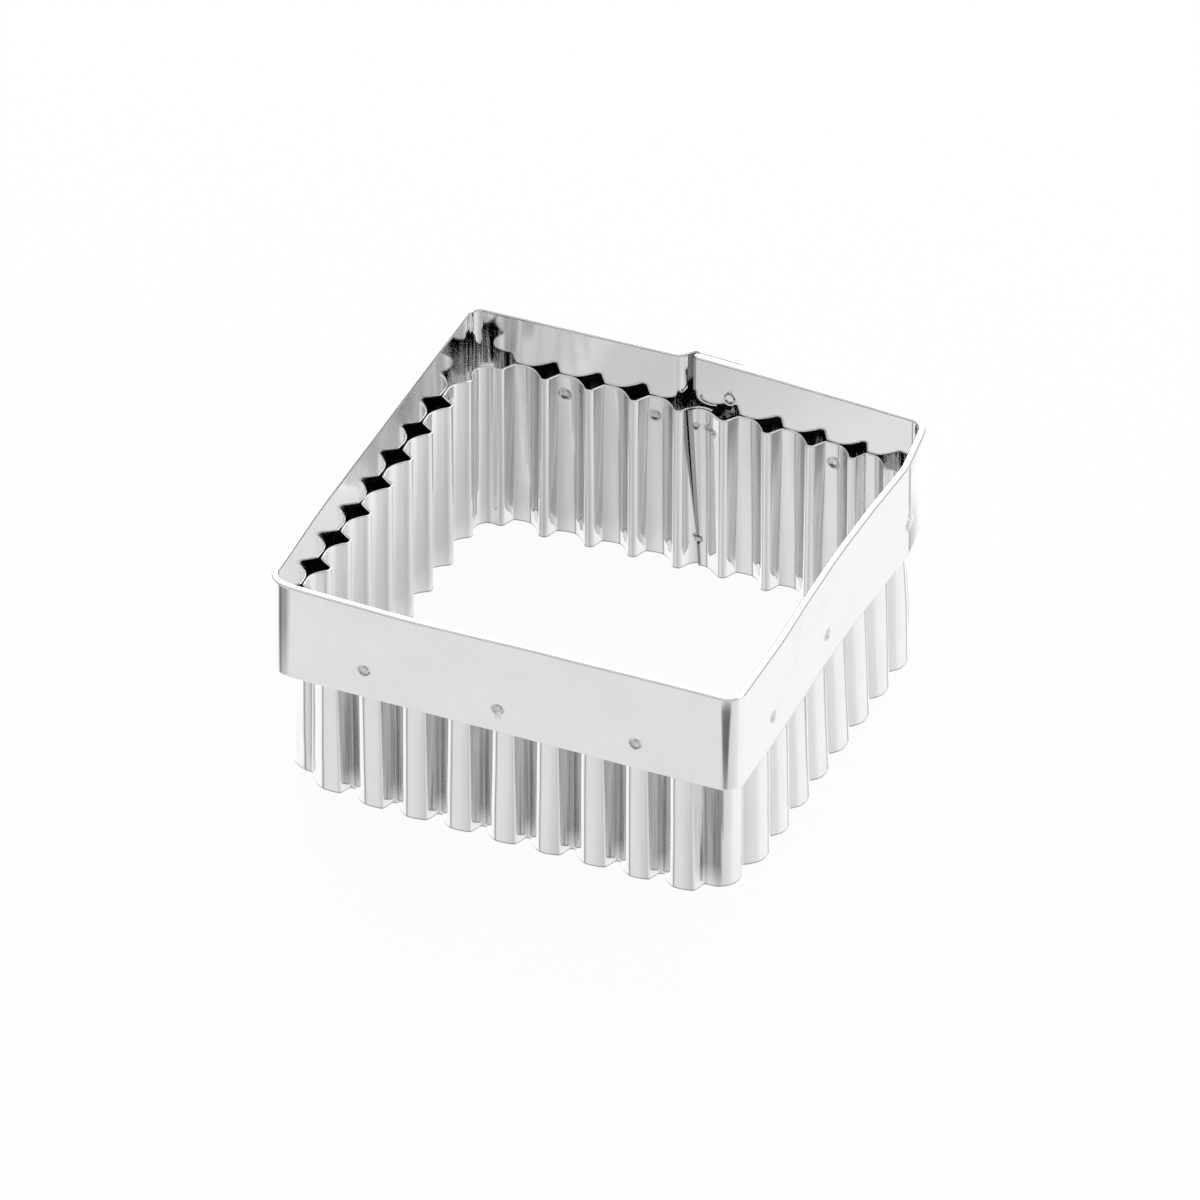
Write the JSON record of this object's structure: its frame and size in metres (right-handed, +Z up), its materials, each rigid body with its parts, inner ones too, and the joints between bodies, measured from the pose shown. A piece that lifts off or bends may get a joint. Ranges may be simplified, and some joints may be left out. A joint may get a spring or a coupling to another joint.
{
  "type": "biscuit cutter",
  "caption": "Square fluted biscuit cutter of polished steel: a crinkled cutting strip spot-welded inside a plain, lapped stiffening band",
  "frame": {"origin": "Bottom centre of the whole cutter's footprint box, on the plane that the cutting edge stands on", "axes": "+Z up from the cutting edge to the band's top edge; -Y is the front side that faces the viewer, +Y the back side with both seams; +X is to the right"},
  "size_m": [0.065, 0.0676, 0.0315],
  "materials": {
    "band_steel": "bright cold-rolled stainless sheet, near mirror",
    "strip_steel": "bright rolled stainless strip with fine drawing lines along the flutes",
    "weld_steel": "dull spot-weld dimples"
  },
  "bodies": {
    "root": {"rim_band": "band_steel", "cutting_strip": "strip_steel", "side_welds": "weld_steel", "band_seam_welds": "weld_steel", "strip_seam_welds": "weld_steel"}
  },
  "joints": []
}
